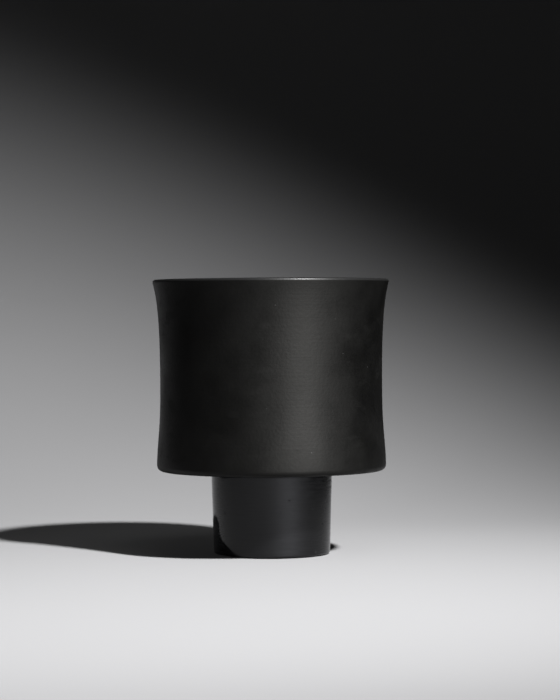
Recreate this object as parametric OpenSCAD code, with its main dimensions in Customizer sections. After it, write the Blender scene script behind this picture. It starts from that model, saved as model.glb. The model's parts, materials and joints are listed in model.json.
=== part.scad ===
// Candle jar: a waisted cup held on a narrower foot by a stud and a nut.
// Millimetres, +Z up. The origin is on the axis, in the plane that the jar stands on.

/* [Cup] */
// Height of the cup from its underside to the top of its lip
cup_h = 72.8; // [60:0.1:100]
// Diameter of the cup at its waist
waist_d = 84.6; // [70:0.1:120]
// Height of the waist above the cup's underside
waist_rise = 35; // [28:0.5:46]
// How far the side leans out from the waist to the lip
rim_flare = 2.7; // [1:0.05:6]
// How far the side leans out from the waist to the lower edge
heel_flare = 1.35; // [0.5:0.05:4]
// How late the upper flare opens: a higher value keeps the side straight for longer
flare_bend = 3.3; // [1.5:0.1:5]
// How low the lower flare gathers: a higher value keeps the side straight for longer
heel_bend = 1.6; // [1:0.1:3]
// Thickness of the cup's side, which the lip rounds off
cup_wall = 2; // [1.4:0.1:3]
// Thickness of the cup's floor
cup_floor = 3; // [2:0.1:6]
// Radius of the cup's outer lower edge
heel_r = 2.2; // [1:0.1:4]
// Radius of the inside corner between the floor and the side
bowl_r = 6; // [2:0.5:10]

/* [Foot] */
// Diameter of the foot at its lower edge
foot_base_d = 44.4; // [36:0.1:60]
// How far the foot's side leans out from its lower edge to its top
foot_flare = 0.8; // [0:0.05:3]
// Height of the foot, from its lower edge to its top face
foot_h = 30.8; // [24:0.1:50]
// Thickness of the foot's side at its lower edge
foot_wall = 3; // [2.5:0.1:4]
// Thickness of the web that closes the foot's top
web_t = 4; // [3:0.1:6]
// Radius of the foot's outer edges
foot_edge_r = 0.6; // [0.3:0.1:1]

/* [Seam] */
// Thickness of the gasket between the cup and the foot
gasket_t = 0.6; // [0.4:0.1:1.5]
// Width of the gasket's ring
gasket_w = 8; // [5:0.5:10]
// How far the gasket stays back from the foot's side
gasket_setback = 0.5; // [0.3:0.1:2]

/* [Fixing] */
// Diameter of the stud
stud_d = 6; // [5:0.5:8]
// Length of stud that shows past the nut
stud_past_nut = 2; // [1:0.5:4]
// Width and height of the weld bead at the stud's root
weld_bead = 0.4; // [0.2:0.1:0.4]
// Gap around the stud in the foot's web and in the washers
stud_gap = 0.3; // [0.1:0.05:0.6]
// Outer diameter of the plain washer
washer_d = 18; // [14:0.5:24]
// Thickness of the plain washer
washer_t = 1.6; // [1:0.1:2.5]
// Width of the spring washer's section
spring_w = 2.5; // [1.5:0.1:3.5]
// Thickness of the spring washer
spring_t = 1.6; // [1:0.1:2.5]
// Width of the slit in the spring washer
spring_slit = 0.8; // [0.4:0.1:1.5]
// Metal between the nut's bore and each of its flats
nut_wall = 2; // [1.5:0.1:3.5]
// Height of the nut
nut_h = 5; // [4:0.1:8]

/* [Base] */
// Thickness of the felt pad
pad_t = 2; // [1.5:0.1:4]
// How far the pad stands out below the foot's lower edge
pad_proud = 0.4; // [0.2:0.1:1]
// Gap around the pad in the foot's recess
pad_gap = 0.3; // [0.1:0.1:1]
// Thickness of the disc that closes the foot
disc_t = 2; // [1:0.1:3]
// Width of the ledge that the disc seats on
disc_ledge = 1.2; // [0.8:0.1:1.5]
// Bevel on the edges of the stud's end, the disc and the nut
bevel = 0.4; // [0.2:0.1:0.5]

/* [Hidden] */
$fn = 96;

// Steps along each curved stretch of an outline
flare_steps = 20;
arc_steps = 8;
// How far a cut runs past the face that it opens
past = 1;

// Levels, from the table up
foot_z = pad_proud;
disc_z = pad_t;
ledge_z = disc_z + disc_t;
foot_top = foot_z + foot_h;
web_z = foot_top - web_t;
seat_z = foot_top + gasket_t;
heel_z = seat_z + heel_r;
waist_z = seat_z + waist_rise;
cup_top = seat_z + cup_h;

// Radii of the foot's side, of its bore and of the recess below it
foot_base_r = foot_base_d / 2;
foot_top_r = foot_base_r + foot_flare;
bore_r = foot_base_r - foot_wall;
recess_r = bore_r + disc_ledge;

// The fixing, from the web down
hole_r = stud_d / 2 + stud_gap;
washer_z = web_z - washer_t;
spring_z = washer_z - spring_t;
nut_z = spring_z - nut_h;
stud_z = nut_z - stud_past_nut;
nut_corner_r = (stud_d / 2 + nut_wall) / cos(30);

function cosh(x) = (exp(x) + exp(-x)) / 2;
function sinh(x) = (exp(x) - exp(-x)) / 2;

// The lip is a half round, square to the side's lean where the side ends
waist_r = waist_d / 2;
lip_lean = atan(rim_flare * flare_bend * sinh(flare_bend) / (cosh(flare_bend) - 1) / (cup_top - waist_z));
lip_r = cup_wall * cos(lip_lean) / 2;
lip_at = [waist_r + rim_flare - lip_r, cup_top - lip_r];
side_top = lip_at + lip_r * [cos(lip_lean), -sin(lip_lean)];

// Outer radius of the cup at height z: a catenary above the waist, a soft sine below it
function upper_r(z) = waist_r + (side_top[0] - waist_r)
    * (cosh(flare_bend * (z - waist_z) / (side_top[1] - waist_z)) - 1) / (cosh(flare_bend) - 1);
function lower_r(z) = waist_r + heel_flare
    * pow(sin(90 * pow((waist_z - z) / (waist_z - heel_z), heel_bend)), 2);
function side_r(z) = z > waist_z ? upper_r(z) : lower_r(max(z, heel_z));

// Points on an arc from angle a to angle b
function arc(centre, r, a, b) = [
    for (i = [0:arc_steps])
        let (t = a + (b - a) * i / arc_steps)
        centre + r * [cos(t), sin(t)]
];

// The cup's side between two heights, set in by a distance
function side(z0, z1, inset, steps) = [
    for (i = [1:steps - 1])
        let (z = z0 + (z1 - z0) * i / steps)
        [side_r(z) - inset, z]
];

module ring(r_out, r_in, z, h) {
    translate([0, 0, z]) difference() {
        cylinder(r = r_out, h = h);
        translate([0, 0, -past]) cylinder(r = r_in, h = h + 2 * past);
    }
}

// A disc with both edges bevelled
module bevelled_disc(r, z, h) {
    rotate_extrude() translate([0, z]) polygon([
        [0, 0], [r - bevel, 0], [r, bevel], [r, h - bevel], [r - bevel, h], [0, h]
    ]);
}

module cup() {
    heel_at = [side_r(heel_z) - heel_r, heel_z];
    floor_z = seat_z + cup_floor;
    bowl_z = floor_z + bowl_r;
    bowl_at = [side_r(bowl_z) - cup_wall - bowl_r, bowl_z];
    lip_inner_z = lip_at[1] + lip_r * sin(lip_lean);
    color([0.07, 0.07, 0.07]) rotate_extrude() polygon(concat(
        [[0, seat_z]],
        arc(heel_at, heel_r, -90, 0),
        side(heel_z, waist_z, 0, flare_steps),
        side(waist_z, side_top[1], 0, flare_steps),
        arc(lip_at, lip_r, -lip_lean, 180 - lip_lean),
        side(lip_inner_z, bowl_z, cup_wall, 2 * flare_steps),
        arc(bowl_at, bowl_r, 0, -90),
        [[0, floor_z]]
    ));
}

module cup_stud() {
    r = stud_d / 2;
    color([0.72, 0.72, 0.70]) rotate_extrude() polygon([
        [0, seat_z], [r + weld_bead, seat_z], [r, seat_z - weld_bead],
        [r, stud_z + bevel], [r - bevel, stud_z], [0, stud_z]
    ]);
}

module seam_gasket() {
    r = foot_top_r - gasket_setback;
    color([0.03, 0.03, 0.03]) ring(r, r - gasket_w, foot_top, gasket_t);
}

module foot() {
    e = foot_edge_r;
    lean = atan(foot_flare / (foot_h - 2 * e));
    color([0.02, 0.02, 0.02]) difference() {
        rotate_extrude() polygon(concat(
            [[0, foot_z]],
            arc([foot_base_r - e, foot_z + e], e, -90, -lean),
            arc([foot_top_r - e, foot_top - e], e, -lean, 90),
            [[0, foot_top]]
        ));
        translate([0, 0, foot_z - past]) cylinder(r = bore_r, h = web_z - foot_z + past);
        translate([0, 0, foot_z - past]) cylinder(r = recess_r, h = ledge_z - foot_z + past);
        translate([0, 0, web_z - past]) cylinder(r = hole_r, h = web_t + 2 * past);
    }
}

module plain_washer() {
    color([0.75, 0.75, 0.72]) ring(washer_d / 2, hole_r, washer_z, washer_t);
}

module spring_washer() {
    color([0.60, 0.60, 0.58]) difference() {
        ring(hole_r + spring_w, hole_r, spring_z, spring_t);
        translate([0, -spring_slit / 2, spring_z - past])
            cube([hole_r + spring_w + past, spring_slit, spring_t + 2 * past]);
    }
}

module hex_nut() {
    color([0.78, 0.76, 0.70]) difference() {
        intersection() {
            translate([0, 0, nut_z]) cylinder(r = nut_corner_r, h = nut_h, $fn = 6);
            bevelled_disc(nut_corner_r, nut_z, nut_h);
        }
        translate([0, 0, nut_z - past]) cylinder(d = stud_d, h = nut_h + 2 * past);
    }
}

module base_disc() {
    color([0.45, 0.45, 0.46]) bevelled_disc(recess_r, disc_z, disc_t);
}

module base_pad() {
    color([0.12, 0.12, 0.12]) cylinder(r = recess_r - pad_gap, h = pad_t);
}

cup();
cup_stud();
seam_gasket();
foot();
plain_washer();
spring_washer();
hex_nut();
base_disc();
base_pad();
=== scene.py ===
# %% [markdown]
# # An empty candle jar
#
# The jar is a waisted cup on a narrower foot. A spinner forms the cup from sheet steel and sprays it matte
# black; the foot is turned, lacquered and held on by a stud and a nut that only show when the jar is taken
# apart. Nothing in it is soft, so nearly every piece is a surface of revolution. The work is in the edges,
# in the fine lines that a lathe leaves, and in how a matte and a glossy black answer the same light.

# %% Load the frame
import json
import math

import bpy
import numpy as np
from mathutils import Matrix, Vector


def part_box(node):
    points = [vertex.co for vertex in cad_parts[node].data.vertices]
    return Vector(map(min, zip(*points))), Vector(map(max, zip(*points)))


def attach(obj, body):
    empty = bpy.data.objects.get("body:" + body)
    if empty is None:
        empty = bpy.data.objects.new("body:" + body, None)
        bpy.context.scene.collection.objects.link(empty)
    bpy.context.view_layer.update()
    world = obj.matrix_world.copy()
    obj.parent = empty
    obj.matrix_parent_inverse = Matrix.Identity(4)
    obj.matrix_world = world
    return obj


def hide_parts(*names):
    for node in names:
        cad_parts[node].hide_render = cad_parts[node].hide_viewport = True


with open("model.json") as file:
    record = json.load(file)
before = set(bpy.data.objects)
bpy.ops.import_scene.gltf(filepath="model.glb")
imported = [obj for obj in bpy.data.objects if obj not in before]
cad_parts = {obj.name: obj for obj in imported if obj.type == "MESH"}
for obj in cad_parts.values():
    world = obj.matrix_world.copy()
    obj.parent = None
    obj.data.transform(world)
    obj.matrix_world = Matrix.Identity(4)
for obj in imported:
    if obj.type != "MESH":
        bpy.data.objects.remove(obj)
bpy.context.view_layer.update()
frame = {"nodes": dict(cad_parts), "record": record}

# %% [markdown]
# ## Measures
#
# A maker starts from a few measures. Here they come from the frame: a piece's box says where it starts and
# ends, and the radii inside a piece are read from the frame's own mesh at a known height. Only the small
# sizes that a maker chooses are written down, such as the radius of an edge.

# %% Heights and radii from the frame
MM = 0.001
NEAR = 0.02 * MM


def radii(node, height, band=NEAR):
    """Smallest and largest distance from the axis among a node's points within a band of this height."""
    mesh = frame["nodes"][node].data
    points = np.empty(3 * len(mesh.vertices))
    mesh.vertices.foreach_get("co", points)
    x, y, z = points.reshape(-1, 3).T
    reach = np.hypot(x, y)[np.abs(z - height) < band]
    return float(reach.min()), float(reach.max())


cup_low, cup_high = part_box("cup")
foot_low, foot_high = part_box("foot")
gasket_low, gasket_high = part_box("seam_gasket")
washer_low, washer_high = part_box("plain_washer")
spring_low, spring_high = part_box("spring_washer")
nut_low, nut_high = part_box("hex_nut")
stud_low, stud_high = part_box("cup_stud")
disc_low, disc_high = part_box("base_disc")
pad_low, pad_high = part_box("base_pad")
floor_z = next(m["pos_m"][2] for m in frame["record"]["mounts"] if m["name"] == "wick_seat")

wall = 2 * MM
heel_r = 2.2 * MM
bowl_r = 6 * MM
edge_r = 0.6 * MM
rim_r = cup_high.x
heel_z = cup_low.z + heel_r
waist_z = cup_low.z + 35 * MM
waist_r = radii("cup", waist_z, 2 * MM)[1]
heel_flare = radii("cup", heel_z, 0.1 * MM)[1] - waist_r
foot_top_r = foot_high.x
foot_base_r = radii("foot", foot_low.z + edge_r, 0.1 * MM)[1]
bore_r, recess_r = radii("foot", disc_high.z)
hole_r = radii("foot", foot_high.z)[0]
print("waist radius", round(waist_r, 5), "heel flare", round(heel_flare, 5), "inside floor at", floor_z)
print("foot radius", round(foot_base_r, 5), "to", round(foot_top_r, 5), "bore", round(bore_r, 5))

# %% [markdown]
# ## Outlines
#
# A turned shape is an outline spun about the axis. The outline is a chain of short runs: straight lines,
# arcs, and the cup's own side, which follows a hanging chain's curve above the waist and a soft sine below.
# Curves made of few points would show as flats in a glossy highlight, so the runs are finely stepped.


# %% Runs of an outline
def line(start, end, count):
    """Points from start to end, evenly spaced; the end itself is left to the next run."""
    share = np.arange(count)[:, None] / count
    return np.array(start) + share * (np.array(end) - np.array(start))


def arc(centre, radius, start, end, count):
    """Points centre + radius * (cos a, sin a) for a from start to end in degrees; the end is left out."""
    angle = np.radians(start + (end - start) * np.arange(count) / count)
    return np.array(centre) + radius * np.stack([np.cos(angle), np.sin(angle)], 1)


FLARE_BEND = 3.3
HEEL_BEND = 1.6
slope = (rim_r - waist_r) * FLARE_BEND / (cup_high.z - waist_z)
lean = math.atan(slope * math.sinh(FLARE_BEND) / (math.cosh(FLARE_BEND) - 1))
lip_r = wall * math.cos(lean) / 2
lip_at = np.array([rim_r - lip_r, cup_high.z - lip_r])
side_end = lip_at + lip_r * np.array([math.cos(lean), -math.sin(lean)])


def side_r(z):
    """Outer radius at height z: waist + flare * (cosh(k u) - 1) / (cosh k - 1) above the waist, where u
    runs from 0 to 1, and waist + flare * sin(90 deg * v ** p) ** 2 below it, where v runs from 0 to 1."""
    u = np.maximum(z - waist_z, 0) / (side_end[1] - waist_z)
    v = np.clip((waist_z - z) / (waist_z - heel_z), 0, 1)
    above = (side_end[0] - waist_r) * (np.cosh(FLARE_BEND * u) - 1) / (math.cosh(FLARE_BEND) - 1)
    return waist_r + above + heel_flare * np.sin(math.pi / 2 * v ** HEEL_BEND) ** 2


def side(low, high, inset, count):
    """The cup's side from height low to height high, moved towards the axis by inset."""
    z = low + (high - low) * np.arange(count) / count
    return np.stack([side_r(z) - inset, z], 1)


print("lip: lean", round(math.degrees(lean), 1), "degrees, radius", round(lip_r / MM, 2), "mm")

# %% [markdown]
# ## From outline to mesh
#
# Spinning is done on whole arrays: ring i of the mesh is the outline's point i, carried round in even steps.
# A point on the axis would give a ring of zero size, so it becomes a single vertex with a fan of triangles,
# and the surface is closed there. The outline runs outwards under the piece and up its outside, which makes
# every face point outwards. A screw thread or the flats of a nut are small changes of radius with angle and
# height, so the same spin takes a function for them.


# %% Spin an outline
def mesh_piece(name, points, faces):
    """A smooth-shaded object at the origin with these points and faces."""
    mesh = bpy.data.meshes.new(name)
    mesh.from_pydata(np.asarray(points).tolist(), [], faces)
    mesh.polygons.foreach_set("use_smooth", [True] * len(mesh.polygons))
    piece = bpy.data.objects.new(name, mesh)
    bpy.context.scene.collection.objects.link(piece)
    print(name, "has", len(mesh.polygons), "faces")
    return piece


def grid_faces(rows, columns, wrap_rows=False):
    """Quads over a grid of rows by columns whose columns close on themselves, and whose rows may too."""
    index = np.arange(rows * columns).reshape(rows, columns)
    if wrap_rows:
        index = np.vstack([index, index[:1]])
    after = np.roll(index, -1, axis=1)
    return np.stack([index[:-1], after[:-1], after[1:], index[1:]], 2).reshape(-1, 4).tolist()


def spun(name, outline, steps, loop=False, shaped=None):
    """Points (r cos t, r sin t, z) for each outline point (r, z) and each of steps angles t, where
    shaped(r, t, z) may change r. A loop joins its last ring to its first; any other outline starts and ends
    on the axis, where a fan of triangles closes it."""
    body = outline if loop else outline[1:-1]
    angle = np.linspace(0, 2 * math.pi, steps, endpoint=False)
    t, z = np.meshgrid(angle, body[:, 1])
    r = np.broadcast_to(body[:, :1], t.shape)
    r = shaped(r, t, z) if shaped else r
    points = np.stack([r * np.cos(t), r * np.sin(t), z], 2).reshape(-1, 3)
    faces = grid_faces(len(body), steps, loop)
    if not loop:
        here = np.arange(steps)
        after = np.roll(here, -1)
        top = (len(body) - 1) * steps
        under, over = len(points), len(points) + 1
        points = np.vstack([points, [[0, 0, outline[0, 1]], [0, 0, outline[-1, 1]]]])
        faces += np.stack([here * 0 + under, after, here], 1).tolist()
        faces += np.stack([here * 0 + over, top + here, top + after], 1).tolist()
    return mesh_piece(name, points, faces)


def keep_edges_sharp(piece, degrees):
    """Shades the piece smooth, apart from edges whose faces turn by more than this angle."""
    piece.data.set_sharp_from_angle(angle=math.radians(degrees))


def stand_in(piece, node, slot, *materials):
    """Puts the piece in the place of a CAD node, with its finish."""
    for material in materials:
        piece.data.materials.append(material)
    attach(piece, "root")
    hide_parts(node)


# %% [markdown]
# ## Shader maths as Python
#
# A material is a small sum over the surface. Wrapping a socket in a class lets the sum be written as one:
# `1 - mask * 0.3` adds its own Math nodes. Every other node comes from one method.


# %% Shader maths
class Value:
    """An output socket that takes part in sums."""

    def __init__(self, finish, socket):
        self.finish, self.socket = finish, socket

    def sum_with(self, operation, first, second):
        return self.finish.node("ShaderNodeMath", {"operation": operation}, {0: first, 1: second})

    def __add__(self, other):
        return self.sum_with("ADD", self, other)

    def __sub__(self, other):
        return self.sum_with("SUBTRACT", self, other)

    def __rsub__(self, other):
        return self.sum_with("SUBTRACT", other, self)

    def __mul__(self, other):
        return self.sum_with("MULTIPLY", self, other)

    __radd__ = __add__
    __rmul__ = __mul__


class Finish:
    """A material being mixed: its nodes, and the Principled shader that ends it."""

    def __init__(self, name):
        self.material = bpy.data.materials.new(name)
        self.material.use_nodes = True
        self.tree = self.material.node_tree
        self.tree.nodes.clear()
        self.place = self.node("ShaderNodeTexCoord", output="Object")

    def node(self, kind, settings=None, inputs=None, output=0):
        """Adds a node of this kind, with its settings first and then the values or links of its inputs."""
        node = self.tree.nodes.new(kind)
        for key, value in (settings or {}).items():
            setattr(node, key, value)
        for key, value in (inputs or {}).items():
            if isinstance(value, Value):
                self.tree.links.new(value.socket, node.inputs[key])
            else:
                node.inputs[key].default_value = value
        return None if output is None else Value(self, node.outputs[output])

    def noise(self, cell, stretch=(1, 1, 1), detail=2.0, offset=(0, 0, 0)):
        """Noise from 0 to 1 whose cells are this long in metres, times the stretch along x, y and z."""
        scale = [1 / cell / s for s in stretch]
        spot = self.node("ShaderNodeMapping", {}, {"Vector": self.place, "Scale": scale, "Location": offset})
        return self.node("ShaderNodeTexNoise", {}, {"Vector": spot, "Scale": 1.0, "Detail": detail})

    def specks(self, spacing, size):
        """1 in small round dots about spacing apart in metres, 0 elsewhere; size is a dot's share of it."""
        scale = [1 / spacing] * 3
        spot = self.node("ShaderNodeMapping", {}, {"Vector": self.place, "Scale": scale})
        near = self.node("ShaderNodeTexVoronoi", {}, {"Vector": spot, "Scale": 1.0})
        return self.step(near, size, size * 0.6)

    def smear(self, centre, size, ragged):
        """1 at this point and 0 past this size from it along x, y and z, with an edge that noise breaks."""
        scale = [1 / s for s in size]
        offset = [-c / s for c, s in zip(centre, size)]
        spot = self.node("ShaderNodeMapping", {}, {"Vector": self.place, "Scale": scale, "Location": offset})
        away = self.node("ShaderNodeVectorMath", {"operation": "LENGTH"}, {0: spot}, output=1)
        return self.step(away + ragged, 1.5, 0.7)

    def part(self, axis):
        """The x, y or z of the point."""
        return self.node("ShaderNodeSeparateXYZ", {}, {0: self.place}, output=axis)

    def step(self, value, low, high):
        """0 at low, 1 at high, and a smooth step between them."""
        return self.node("ShaderNodeMapRange", {"interpolation_type": "SMOOTHSTEP"},
                         {"Value": value, "From Min": low, "From Max": high})

    def blend(self, share, first, second):
        """first where share is 0 and second where it is 1, for colours."""
        return self.node("ShaderNodeMix", {"data_type": "RGBA"}, {0: share, 6: first, 7: second}, output=2)

    def bump(self, height, depth, under=None):
        """Tilts the surface as if height, from 0 to 1, rose by depth in metres."""
        inputs = {"Height": height, "Distance": depth, "Strength": 1.0}
        if under is not None:
            inputs["Normal"] = under
        return self.node("ShaderNodeBump", {}, inputs)

    def done(self, **inputs):
        """Ends the material with a Principled shader that has these inputs, and returns it."""
        named = {key.replace("_", " "): value for key, value in inputs.items()}
        shader = self.node("ShaderNodeBsdfPrincipled", {}, named)
        self.node("ShaderNodeOutputMaterial", {}, {"Surface": shader}, output=None)
        print("finish", self.material.name, "has", len(self.tree.nodes), "nodes")
        return self.material


def grey(level, warm=1.0):
    """A near-neutral colour; warm over 1 lowers the blue a little, and under 1 raises it."""
    return (level, level, level / warm, 1)


# %% [markdown]
# ## Finishes of the cup and the foot
#
# The cup carries a matte black powder coat. Its outside still shows the spinner's roller as fine level lines,
# a grain of about a millimetre, soft clouds where the coat lies thicker, and a thumb mark low on the front.
# A coat this dark is nearly all reflection, so the clouds and marks change how rough it is more than what
# colour it is. Its highlight is stretched along the lines, which is what the anisotropy is for. The lip and
# the inside are dipped in a smoother satin black.
#
# The foot is lacquered: a clear layer over a duller black one. The layer mirrors the table, which is why the
# jar's own shadow shows as a black patch low on its left. In a few pits the mirror fades and the duller black
# shows. High on the right, just under the cup, it also fades in streaks: that is painted shade, standing in
# for the shade that the cup throws on the foot.

# %% Finishes of the cup and the foot
THUMB_AT = (-10 * MM, -waist_r, 47 * MM)
THUMB_SIZE = (8 * MM, 12 * MM, 2.4 * MM)


def matte_coat():
    """Powder coat: noise for the clouds, grain and level lines, specks for dust, a smear for the thumb."""
    f = Finish("cup_coat")
    cloud = f.step(f.noise(13 * MM, detail=3.0), 0.2, 0.8)
    grain = f.noise(1.1 * MM, detail=3.0)
    turned = f.noise(24 * MM, (1, 1, 0.035), detail=4.0)
    rubbed = f.step(f.noise(11 * MM, (1, 1, 0.35), offset=(4.0, 1.0, 2.0)), 0.56, 0.72)
    dust = f.specks(9 * MM, 0.035)
    ragged = f.noise(4 * MM, detail=3.0)
    thumb = f.smear(THUMB_AT, THUMB_SIZE, ragged)
    bump = f.bump(turned, 0.032 * MM)
    bump = f.bump(grain, 0.05 * MM, bump)
    bump = f.bump(dust, 0.02 * MM, bump)
    colour = f.blend(cloud, grey(0.0006, 1.04), grey(0.0016, 1.06))
    colour = f.blend(thumb, colour, grey(0.0001))
    colour = f.blend(dust, colour, grey(0.02))
    rough = 0.42 + 0.13 * cloud + 0.13 * grain + 0.08 * rubbed + 0.1 * thumb
    return f.done(Base_Color=colour, Roughness=rough, Normal=bump,
                  Anisotropic=0.4, Anisotropic_Rotation=0.25,
                  Specular_IOR_Level=0.138, Specular_Tint=(1, 0.985, 0.95, 1))


def gloss_coat():
    """Dipped satin black: a faint orange peel, and clouds of roughness where it was wiped."""
    f = Finish("cup_gloss")
    peel = f.noise(2.4 * MM)
    wiped = f.noise(18 * MM, detail=4.0)
    return f.done(Base_Color=grey(0.006), Roughness=0.36 + 0.08 * wiped,
                  Specular_IOR_Level=0.20, Normal=f.bump(peel, 0.008 * MM))


# How far below the foot's top the painted shade under the cup reaches.
SHADE_DROP = 13 * MM


def foot_lacquer():
    """Clear lacquer over dull black. The clear layer fades in the pits, and in streaks high on the right just
    under the cup, which are painted shade where the cup shades the foot."""
    f = Finish("foot_lacquer")
    turned = f.noise(16 * MM, (1, 1, 0.03), detail=3.0)
    ripple = f.noise(5 * MM, (1, 1, 0.5), detail=2.0)
    lines = f.step(f.noise(9 * MM, (1, 1, 0.03), detail=4.0, offset=(1.0, 2.0, 8.0)), 0.35, 0.7)
    pits = f.specks(6 * MM, 0.10)
    # Painted shade: streaks high on the right, just under the cup, where the clear layer is made to fade as
    # if the cup shaded it.
    shade_streaks = f.step(f.noise(7 * MM, (1, 1, 0.12), detail=4.0, offset=(2.0, 5.0, 0.0)), 0.42, 0.66)
    below_cup = f.step(f.part(2), foot_high.z - SHADE_DROP, foot_high.z - 1 * MM)
    shade_side = f.step(f.part(0), 0.25 * foot_top_r, 0.75 * foot_top_r)
    under_cup_shade = shade_streaks * below_cup * shade_side
    pits_and_shade = f.node("ShaderNodeMath", {"operation": "MAXIMUM"}, {0: under_cup_shade, 1: pits})
    bump = f.bump(turned, 0.010 * MM)
    bump = f.bump(ripple, 0.05 * MM, bump)
    bump = f.bump(1 - pits, 0.01 * MM, bump)
    # The coat's weight falls in the real pits and in the painted shade under the cup.
    return f.done(Base_Color=grey(0.0004, 0.92), Roughness=0.50 + 0.3 * pits_and_shade,
                  Specular_IOR_Level=0.36, Specular_Tint=(0.94, 0.95, 1, 1),
                  Coat_Weight=(1 - 0.2 * lines) * (1 - 0.85 * pits_and_shade), Coat_Roughness=0.03, Coat_IOR=1.29,
                  Coat_Tint=(0.35, 0.35, 0.36, 1), Normal=bump)


cup_coat, cup_gloss, lacquer = matte_coat(), gloss_coat(), foot_lacquer()

# %% [markdown]
# ## Finishes of the fixing and the base
#
# The parts inside are bought ones: zinc-plated washers, a yellowish nut, an oil-black spring washer, a bare
# stud and a bare disc. They share one recipe, a cloudy metal with fine lines, and differ in brightness,
# tint and in how level the lines are. Rubber is a dull black with a pale bloom. Felt is the one soft thing:
# two crossed noises stand for its fibres, and a little sheen for the nap.

# %% Finishes of the fixing and the base
def rubber():
    """Moulded rubber: a skin of fine bumps, paler and rougher where it has bloomed."""
    f = Finish("gasket_rubber")
    bloom = f.noise(3 * MM, detail=4.0)
    skin = f.noise(0.12 * MM, detail=1.0)
    return f.done(Base_Color=f.blend(bloom, grey(0.010), grey(0.022)), Roughness=0.55 + 0.2 * bloom,
                  Specular_IOR_Level=0.4, Normal=f.bump(skin, 0.01 * MM))


def felt():
    """Pressed felt: fibres along x times fibres along y, over the swell of the mat."""
    f = Finish("pad_felt")
    mat = f.noise(1.6 * MM, (1, 1, 0.4), detail=5.0)
    hair = f.noise(0.25 * MM, (3, 0.6, 0.6), detail=3.0)
    cross_hair = f.noise(0.25 * MM, (0.6, 3, 0.6), detail=3.0, offset=(7.0, 3.0, 1.0))
    nap = f.bump(mat, 0.15 * MM)
    nap = f.bump(hair * cross_hair, 0.12 * MM, nap)
    colour = f.blend(f.step(hair, 0.45, 0.75), grey(0.016), grey(0.045))
    return f.done(Base_Color=colour, Roughness=1.0, Specular_IOR_Level=0.1, Normal=nap,
                  Sheen_Weight=0.35, Sheen_Roughness=0.5)


def steel(name, dark, light, lines, roughness, warm=1.0):
    """Bare or plated steel: cloudy colour, fine lines whose height is this share of their length, and a
    grain that roughens it."""
    f = Finish(name)
    cloud = f.noise(2.5 * MM, detail=4.0)
    turned = f.noise(3 * MM, (1, 1, lines), detail=3.0)
    scuffs = f.step(f.noise(0.8 * MM, (2.5, 0.5, 1), detail=3.0), 0.58, 0.72)
    bump = f.bump(turned, 0.006 * MM)
    bump = f.bump(cloud, 0.004 * MM, bump)
    return f.done(Base_Color=f.blend(cloud, grey(dark, warm), grey(light, warm)), Metallic=1.0,
                  Roughness=roughness + 0.12 * cloud + 0.1 * scuffs, Normal=bump)


gasket_rubber, pad_felt = rubber(), felt()
stud_steel = steel("stud_steel", 0.42, 0.60, lines=0.05, roughness=0.28, warm=1.02)
nut_steel = steel("nut_steel", 0.50, 0.66, lines=0.3, roughness=0.25, warm=1.12)
zinc_steel = steel("zinc_steel", 0.50, 0.70, lines=1.0, roughness=0.30, warm=0.98)
spring_steel = steel("spring_steel", 0.16, 0.30, lines=0.3, roughness=0.30, warm=0.95)
disc_steel = steel("disc_steel", 0.38, 0.52, lines=1.0, roughness=0.32)

# %% [markdown]
# ## The cup
#
# A spinner presses a steel disc over a former, rolls its edge and leaves a floor, a waisted side and a round
# lip. It is made as one closed outline: out under the floor, round the heel, up the side, over the lip, down
# the inside, round the bowl and back to the axis. The matte coat ends on the lip's outer side, a few degrees
# above its widest point, so the outline is cut in two runs there and the rings of faces are shared out.

# %% The cup
CUP_STEPS = 288
heel_at = [float(side_r(heel_z)) - heel_r, heel_z]
bowl_z = floor_z + bowl_r
bowl_at = [float(side_r(bowl_z)) - wall - bowl_r, bowl_z]
lip_inner_z = lip_at[1] + lip_r * math.sin(lean)
lean_deg = math.degrees(lean)
COAT_ENDS_DEG = 4
matte_runs = [
    line([0, cup_low.z], [heel_at[0], cup_low.z], 12),
    arc(heel_at, heel_r, -90, 0, 12),
    side(heel_z, side_end[1], 0, 72),
    arc(lip_at, lip_r, -lean_deg, COAT_ENDS_DEG, 3),
]
gloss_runs = [
    arc(lip_at, lip_r, COAT_ENDS_DEG, 180 - lean_deg, 24),
    side(lip_inner_z, bowl_z, wall, 60),
    arc(bowl_at, bowl_r, 0, -90, 16),
    line([bowl_at[0], floor_z], [0, floor_z], 14),
    [[0, floor_z]],
]
cup = spun("cup_shell", np.vstack(matte_runs + gloss_runs), CUP_STEPS)
stand_in(cup, "cup", "cup_coat", cup_coat, cup_gloss)
matte_rings = sum(len(run) for run in matte_runs) - 1
finish_of = np.zeros(len(cup.data.polygons), int)
finish_of[matte_rings * CUP_STEPS:-2 * CUP_STEPS] = 1
finish_of[-CUP_STEPS:] = 1
cup.data.polygons.foreach_set("material_index", finish_of)
print("matte faces", int((finish_of == 0).sum()), "satin faces", int((finish_of == 1).sum()))

# %% [markdown]
# ## The foot
#
# The foot is turned from bar: a side that leans out a little towards the top, a bore, a ledge for the disc,
# and a web with a hole for the stud. Its outline never meets the axis, so it is a loop. Both outer edges are
# rounded, because a sharp edge would lose its lacquer; the inner ones stay as the tool left them.

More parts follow.
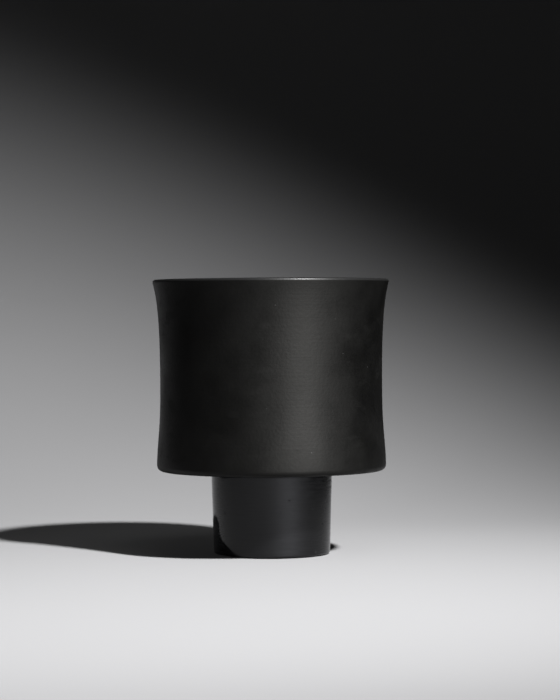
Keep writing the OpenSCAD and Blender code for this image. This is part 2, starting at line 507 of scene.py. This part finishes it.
# %% The foot
web_z = washer_high.z
foot_lean = math.degrees(math.atan((foot_top_r - foot_base_r) / (foot_high.z - foot_low.z - 2 * edge_r)))
base_at = [foot_base_r - edge_r, foot_low.z + edge_r]
top_at = [foot_top_r - edge_r, foot_high.z - edge_r]
base_side = arc(base_at, edge_r, -foot_lean, 90, 8)[0]
top_side = arc(top_at, edge_r, -foot_lean, 90, 8)[0]
foot_outline = np.vstack([
    line([recess_r, foot_low.z], [base_at[0], foot_low.z], 3),
    arc(base_at, edge_r, -90, -foot_lean, 10),
    line(base_side, top_side, 60),
    arc(top_at, edge_r, -foot_lean, 90, 10),
    line([top_at[0], foot_high.z], [hole_r, foot_high.z], 8),
    line([hole_r, foot_high.z], [hole_r, web_z], 3),
    line([hole_r, web_z], [bore_r, web_z], 8),
    line([bore_r, web_z], [bore_r, disc_high.z], 10),
    line([bore_r, disc_high.z], [recess_r, disc_high.z], 2),
    line([recess_r, disc_high.z], [recess_r, foot_low.z], 3),
])
foot = spun("foot_shell", foot_outline, 256, loop=True)
keep_edges_sharp(foot, 40)
stand_in(foot, "foot", "foot_enamel", lacquer)
print("the foot leans out", round(foot_lean, 2), "degrees")

# %% [markdown]
# ## The gasket
#
# The gasket is a thin rubber ring between the cup and the foot. It stays back from the foot's side, which is
# what draws the fine dark line between the two. Rubber that is squeezed bulges, so its edges are half round.

# %% The gasket
gasket_out = gasket_high.x
gasket_in = radii("seam_gasket", gasket_low.z)[0]
gasket_mid = (gasket_low.z + gasket_high.z) / 2
bulge = (gasket_high.z - gasket_low.z) / 2
gasket = spun("gasket_ring", np.vstack([
    line([gasket_in + bulge, gasket_low.z], [gasket_out - bulge, gasket_low.z], 8),
    arc([gasket_out - bulge, gasket_mid], bulge, -90, 90, 8),
    line([gasket_out - bulge, gasket_high.z], [gasket_in + bulge, gasket_high.z], 8),
    arc([gasket_in + bulge, gasket_mid], bulge, 90, 270, 8),
]), 160, loop=True)
stand_in(gasket, "seam_gasket", "gasket_rubber", gasket_rubber)
print("the gasket stays back", round((foot_top_r - gasket_out) / MM, 2), "mm")

# %% [markdown]
# ## Stud and nut
#
# A thread is a helix: its height at an angle repeats every pitch, and one turn moves it by one pitch. So the
# depth at any point is a triangle wave of height / pitch - angle / 360 degrees, with its crests and roots
# cut flat. It needs no helix curve, and the nut takes the same function, so the two always mesh.

# %% The stud
PITCH = 1.0 * MM
THREAD = 0.54 * MM
BEAD = 0.4 * MM
BEVEL = 0.4 * MM
stud_r = radii("cup_stud", stud_low.z + BEVEL)[1]


def thread_cut(t, z):
    """How far a thread is cut in: depth times a triangle wave of z / pitch - t / 2 pi with flat ends."""
    turn = np.mod(z / PITCH - t / (2 * math.pi), 1.0)
    wave = np.abs(2 * turn - 1)
    return THREAD * np.clip(1.35 * wave - 0.15, 0, 1)


def stud_shape(r, t, z):
    """The lesser of the outline and stud_r - thread_cut * fade on the rod, where fade falls to 0 just below
    the weld; the outline alone on the bead and across the end."""
    fade = np.clip((stud_high.z - BEAD - z) / PITCH, 0, 1)
    threaded = np.minimum(r, stud_r - thread_cut(t, z) * fade)
    on_rod = (r > stud_r - BEVEL * 1.01) & (z < stud_high.z - BEAD)
    return np.where(on_rod, threaded, r)


stud_outline = np.vstack([
    line([0, stud_low.z], [stud_r - BEVEL, stud_low.z], 4),
    line([stud_r - BEVEL, stud_low.z], [stud_r, stud_low.z + BEVEL], 5),
    line([stud_r, stud_low.z + BEVEL], [stud_r, stud_high.z - BEAD], 180),
    line([stud_r, stud_high.z - BEAD], [stud_r + BEAD, stud_high.z], 4),
    line([stud_r + BEAD, stud_high.z], [0, stud_high.z], 4),
    [[0, stud_high.z]],
])
stud = spun("weld_stud", stud_outline, 96, shaped=stud_shape)
keep_edges_sharp(stud, 50)
stand_in(stud, "cup_stud", "stud_steel", stud_steel)

# %% The nut
corner_r = nut_high.x
flat_r = corner_r * math.cos(math.radians(30))
CLEAR = 0.04 * MM


def nut_shape(r, t, z):
    """Outside, the lesser of the hexagon flat / cos(angle from the middle of a flat) and a cone of 30 degrees
    at each end; inside, the stud's thread and a little clearance."""
    from_flat = np.mod(t, math.pi / 3) - math.pi / 6
    hexagon = flat_r / np.cos(from_flat)
    end = np.minimum(z - nut_low.z, nut_high.z - z)
    cone = flat_r * 0.985 + end / math.tan(math.radians(30))
    thread = np.maximum(stud_r - thread_cut(t, z), stud_r - end) + CLEAR
    inside = np.where(r < stud_r + 2 * CLEAR, thread, r)
    return np.where(r > flat_r, np.minimum(hexagon, cone), inside)


face_r = flat_r * 0.98
CONE_H = 1.0 * MM
nut_outline = np.vstack([
    line([stud_r + 3 * CLEAR, nut_low.z], [face_r, nut_low.z], 5),
    line([corner_r, nut_low.z], [corner_r, nut_low.z + CONE_H], 12),
    line([corner_r, nut_low.z + CONE_H], [corner_r, nut_high.z - CONE_H], 4),
    line([corner_r, nut_high.z - CONE_H], [corner_r, nut_high.z], 12),
    [[corner_r, nut_high.z]],
    line([face_r, nut_high.z], [stud_r + 3 * CLEAR, nut_high.z], 5),
    line([stud_r, nut_high.z], [stud_r, nut_low.z], 60),
    [[stud_r, nut_low.z]],
])
nut = spun("clamp_nut", nut_outline, 120, loop=True, shaped=nut_shape)
keep_edges_sharp(nut, 22)
stand_in(nut, "hex_nut", "nut_steel", nut_steel)

# %% [markdown]
# ## Washers
#
# The plain washer is stamped: the punch rounds the edges that it enters and leaves the others sharp. The
# spring washer is a square wire wound into a ring and cut with a slanted slit; the nut has pressed it flat.

# %% The washers
ROLL = 0.35 * MM
washer = spun("stamped_washer", np.vstack([
    line([hole_r, washer_low.z], [washer_high.x, washer_low.z], 8),
    line([washer_high.x, washer_low.z], [washer_high.x, washer_high.z - ROLL], 4),
    arc([washer_high.x - ROLL, washer_high.z - ROLL], ROLL, 0, 90, 6),
    line([washer_high.x - ROLL, washer_high.z], [hole_r + ROLL, washer_high.z], 8),
    arc([hole_r + ROLL, washer_high.z - ROLL], ROLL, 90, 180, 6),
    line([hole_r, washer_high.z - ROLL], [hole_r, washer_low.z], 4),
]), 144, loop=True)
keep_edges_sharp(washer, 40)
stand_in(washer, "plain_washer", "zinc_steel", zinc_steel)


def split_ring(name, inner, outer, low, high, slit, slant, corner=0.15 * MM, steps=120):
    """A square section with round corners, carried round an arc. Point (u, v) lies at section point v and
    angle start + u * sweep; both ends shift by slant with height, so that the slit leans."""
    section = np.vstack([
        arc([outer - corner, low + corner], corner, -90, 0, 4),
        arc([outer - corner, high - corner], corner, 0, 90, 4),
        arc([inner + corner, high - corner], corner, 90, 180, 4),
        arc([inner + corner, low + corner], corner, 180, 270, 4),
    ])
    r, z = section.T
    start = (slit / 2 + slant * ((z - low) / (high - low) - 0.5)) / r
    end = 2 * math.pi - (slit / 2 - slant * ((z - low) / (high - low) - 0.5)) / r
    t = start + np.linspace(0, 1, steps)[:, None] * (end - start)
    points = np.stack([r * np.cos(t), r * np.sin(t), z + 0 * t], 2).reshape(-1, 3)
    count = len(section)
    quads = np.array(grid_faces(steps, count))[:, ::-1].tolist()
    first, last = np.arange(count), (steps - 1) * count + np.arange(count)
    return mesh_piece(name, points, quads + [first.tolist(), last[::-1].tolist()])


spring = split_ring("split_washer", hole_r, spring_high.x, spring_low.z, spring_high.z,
                    slit=0.8 * MM, slant=0.9 * MM)
keep_edges_sharp(spring, 50)
stand_in(spring, "spring_washer", "spring_steel", spring_steel)

# %% [markdown]
# ## The base disc and the felt pad
#
# A steel disc closes the foot from below and weighs it down; its edges are bevelled so that it slides into
# the recess. The felt is stuck to it and stands a little proud, which lifts the foot's edge off the table.
# Felt is cut with a die, so its edge is soft and slightly frayed: the radius there varies with three sines.

# %% The base disc and the felt pad
TURNED_EDGE = 0.4 * MM
disc = spun("cover_disc", np.vstack([
    line([0, disc_low.z], [disc_high.x - TURNED_EDGE, disc_low.z], 10),
    line([disc_high.x - TURNED_EDGE, disc_low.z], [disc_high.x, disc_low.z + TURNED_EDGE], 3),
    line([disc_high.x, disc_low.z + TURNED_EDGE], [disc_high.x, disc_high.z - TURNED_EDGE], 3),
    line([disc_high.x, disc_high.z - TURNED_EDGE], [disc_high.x - TURNED_EDGE, disc_high.z], 3),
    line([disc_high.x - TURNED_EDGE, disc_high.z], [0, disc_high.z], 10),
    [[0, disc_high.z]],
]), 192)
keep_edges_sharp(disc, 30)
stand_in(disc, "base_disc", "disc_steel", disc_steel)

FELT_EDGE = 0.5 * MM


def fuzzy(r, t, z):
    """The cut edge of felt: r, less a few small sines of the angle where r is near the rim."""
    frayed = 0.04 * np.sin(23 * t + 1) + 0.03 * np.sin(57 * t + z / MM * 3) + 0.03 * np.sin(101 * t + 2)
    return r - np.where(r > pad_high.x - FELT_EDGE, (frayed + 0.1) * MM, 0)


pad = spun("felt_disc", np.vstack([
    line([0, pad_low.z], [pad_high.x - FELT_EDGE, pad_low.z], 16),
    arc([pad_high.x - FELT_EDGE, pad_low.z + FELT_EDGE], FELT_EDGE, -90, 0, 5),
    arc([pad_high.x - FELT_EDGE, pad_high.z - FELT_EDGE], FELT_EDGE, 0, 90, 5),
    line([pad_high.x - FELT_EDGE, pad_high.z], [0, pad_high.z], 12),
    [[0, pad_high.z]],
]), 360, shaped=fuzzy)
stand_in(pad, "base_pad", "pad_felt", pad_felt)

# %% [markdown]
# ## The studio
#
# The jar stands on a roll of pale grey paper that curves up into a wall: near floor bright, wall falling to
# dark, as the key is a spot whose edge crosses the wall. A black object is lit by what it mirrors, so black
# cards stand where the cup and the lip should stay dark. A long low lamp puts the soft bar down the cup's
# right side; it is kept off the paper. Two weak lamps open the shadow a little.

# %% The studio
SWEEP_BACK = 0.125
SWEEP_BEND = 0.83
SWEEP_TOP = 2.4
SWEEP_HALF = 3.0


def paper():
    """Grey paper that is seen from the front and lets the camera through from behind."""
    f = Finish("paper_sweep")
    cloud = f.noise(0.16)
    pale = f.blend(cloud, grey(0.197, 0.985), grey(0.203, 0.985))
    f.done(Base_Color=pale, Roughness=0.75, Specular_IOR_Level=0.0)
    out = next(n for n in f.tree.nodes if n.type == "OUTPUT_MATERIAL")
    front = Value(f, out.inputs["Surface"].links[0].from_socket)
    behind = f.node("ShaderNodeNewGeometry", output="Backfacing")
    clear = f.node("ShaderNodeBsdfTransparent")
    both = f.node("ShaderNodeMixShader", {}, {0: behind, 1: front, 2: clear})
    f.tree.links.new(both.socket, out.inputs["Surface"])
    return f.material


def sweep():
    """A floor that rises into a wall in one curve: y runs back, then a quarter circle, then up."""
    path = np.vstack([
        line([-SWEEP_HALF, 0], [SWEEP_BACK, 0], 10),
        arc([SWEEP_BACK, SWEEP_BEND], SWEEP_BEND, -90, 0, 48),
        line([SWEEP_BACK + SWEEP_BEND, SWEEP_BEND], [SWEEP_BACK + SWEEP_BEND, SWEEP_TOP], 10),
        [[SWEEP_BACK + SWEEP_BEND, SWEEP_TOP]],
    ])
    x, row = np.meshgrid([-SWEEP_HALF, 0, SWEEP_HALF], np.arange(len(path)))
    points = np.stack([x, path[row, 0], path[row, 1]], 2).reshape(-1, 3)
    index = np.arange(len(points)).reshape(row.shape)
    quads = np.stack([index[:-1, :-1], index[:-1, 1:], index[1:, 1:], index[1:, :-1]], 2).reshape(-1, 4)
    piece = mesh_piece("studio_sweep", points, quads.tolist())
    piece.data.materials.append(paper())


def card(name, az, far, wide, low, high):
    """A black card at this angle round from the camera's side, facing the jar, between two heights. Only
    reflections see it, as they see the dark side of a studio."""
    out = np.array([math.sin(math.radians(az)), -math.cos(math.radians(az))])
    along = np.array([-out[1], out[0]])
    ends = [out * far - along * wide / 2, out * far + along * wide / 2]
    points = [[*ends[0], low], [*ends[1], low], [*ends[1], high], [*ends[0], high]]
    piece = mesh_piece(name, points, [[3, 2, 1, 0]])
    f = Finish(name)
    weave = f.noise(0.002)
    black = f.done(Base_Color=grey(0.002), Roughness=0.9 + 0.1 * weave, Specular_IOR_Level=0.0)
    piece.data.materials.append(black)
    piece.visible_camera = piece.visible_diffuse = piece.visible_shadow = False


sweep()
card("black_card_right", az=112, far=0.12, wide=0.34, low=0.035, high=0.5)
card("black_card_left", az=-88, far=0.30, wide=0.36, low=0, high=0.5)
card("black_card_behind", az=-150, far=0.20, wide=0.40, low=0.120, high=0.7)


def placed(az, el, far):
    """A place this far from the origin, at az degrees round from the camera's side and el degrees up."""
    az, el = math.radians(az), math.radians(el)
    return Vector((far * math.sin(az) * math.cos(el), -far * math.cos(az) * math.cos(el), far * math.sin(el)))


def light(name, kind, spot, aim, watts, matte=True, gloss=True, **settings):
    """A lamp at spot that looks at aim. It may be kept off matte surfaces, or out of reflections."""
    data = bpy.data.lights.new(name, kind)
    data.energy = watts
    for key, value in settings.items():
        setattr(data, key, value)
    lamp = bpy.data.objects.new(name, data)
    bpy.context.scene.collection.objects.link(lamp)
    lamp.location = spot
    lamp.visible_diffuse, lamp.visible_glossy = matte, gloss
    lamp.rotation_euler = (Vector(aim) - spot).to_track_quat("-Z", "Y").to_euler()
    print("lamp", name, "of", watts, "W at", [round(x, 3) for x in spot])


light("key", "SPOT", placed(37.8, 47, 1.05), (-0.279, 0.037, 0), watts=189,
      shadow_soft_size=0.035, spot_size=math.radians(62.4), spot_blend=1.0)
light("low_fill", "AREA", placed(34, 5, 0.9), (0, 0, 0.03), watts=6.6, matte=False,
      shape="RECTANGLE", size=0.50, size_y=0.10)
light("overhead", "AREA", Vector((0.20, -0.45, 1.1)), (0.1, -0.35, 0), watts=0.30,
      shape="SQUARE", size=0.5, spread=math.radians(70))
light("floor_fill", "SPOT", placed(-30, 12, 0.9), (-0.09, 0, 0), watts=15, gloss=False,
      shadow_soft_size=0.1, spot_size=math.radians(14), spot_blend=1.0)

world = bpy.data.worlds.new("room")
bpy.context.scene.world = world
world.use_nodes = True
sky = world.node_tree.nodes["Background"]
sky.inputs["Color"].default_value = (1, 1, 1, 1)
sky.inputs["Strength"].default_value = 0.022

# %% [markdown]
# ## The camera
#
# The camera stands a little lower than the lip, close to a metre away, and looks down by less than a degree.
# So the lip is seen edge on, as one bright line, and the foot's lower edge as a shallow curve.

# %% The camera
LENS = 122.3
DISTANCE = 907 * MM
EYE_HEIGHT = 90.3 * MM
ASIDE = 3.5 * MM
LOOK_DOWN = 0.80
ROLL_ANGLE = 0.30
camera_data = bpy.data.cameras.new("camera")
camera_data.lens = LENS
camera_data.sensor_width = 36
camera = bpy.data.objects.new("camera", camera_data)
bpy.context.scene.collection.objects.link(camera)
camera.location = (ASIDE, -DISTANCE, EYE_HEIGHT)
camera.rotation_euler = (math.radians(90 - LOOK_DOWN), math.radians(ROLL_ANGLE), 0)
bpy.context.scene.camera = camera
bpy.context.scene.view_settings.view_transform = "Standard"
print("camera at", [round(x, 4) for x in camera.location], "with a lens of", LENS, "mm")
